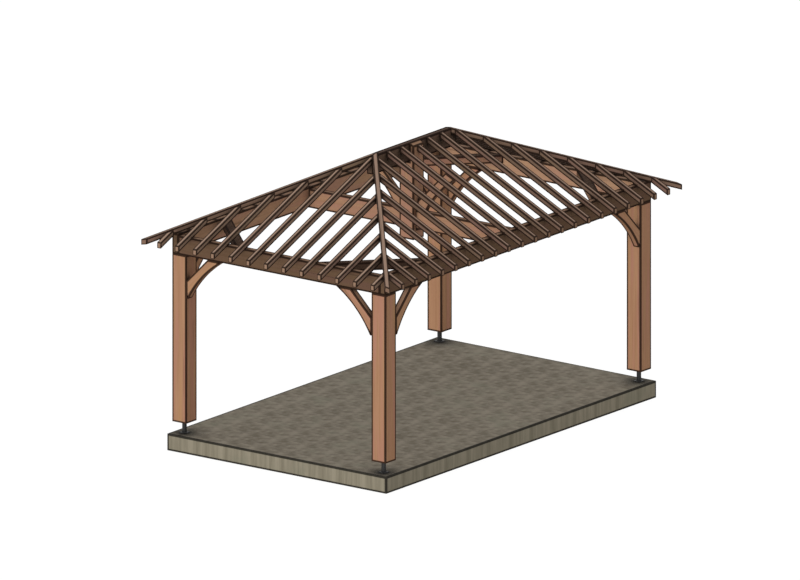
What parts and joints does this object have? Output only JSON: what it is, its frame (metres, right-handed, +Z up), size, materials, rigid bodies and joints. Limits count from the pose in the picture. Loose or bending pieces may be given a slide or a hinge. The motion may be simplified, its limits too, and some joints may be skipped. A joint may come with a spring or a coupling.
{
  "type": "wooden gazebo",
  "caption": "Open timber gazebo with a hipped roof of bare rafters on a concrete slab, with four square posts, knee braces, flat corner ties and a king post truss.",
  "frame": {"origin": "centre of the slab's underside", "axes": "X along the length of the gazebo, Y across it, Z up"},
  "size_m": [6.71, 4.27, 4.0634],
  "materials": {
    "timber": "rough sawn and stained",
    "roof_timber": "rough sawn and stained",
    "concrete": "trowelled concrete",
    "steel": "satin black paint"
  },
  "bodies": {
    "root": {"slab": "concrete", "stand_front_left": "steel", "stand_front_right": "steel", "stand_back_left": "steel", "stand_back_right": "steel", "post_front_left": "timber", "post_front_right": "timber", "post_back_left": "timber", "post_back_right": "timber", "beam_front": "timber", "beam_back": "timber", "beam_left": "timber", "beam_right": "timber", "brace_front_left": "timber", "brace_front_right": "timber", "brace_back_left": "timber", "brace_back_right": "timber", "brace_left_front": "timber", "brace_left_back": "timber", "brace_right_front": "timber", "brace_right_back": "timber", "corner_tie_front_left": "timber", "corner_tie_front_right": "timber", "corner_tie_back_left": "timber", "corner_tie_back_right": "timber", "tie_beam": "timber", "king_post": "timber", "strut_front": "timber", "strut_back": "timber", "ridge_beam": "timber", "hip_front_left": "roof_timber", "hip_front_right": "roof_timber", "hip_back_left": "roof_timber", "hip_back_right": "roof_timber", "rafters_front": "roof_timber", "rafters_back": "roof_timber", "jacks_front_left": "roof_timber", "jacks_front_right": "roof_timber", "jacks_back_left": "roof_timber", "jacks_back_right": "roof_timber", "rafters_left": "roof_timber", "rafters_right": "roof_timber"}
  },
  "joints": []
}
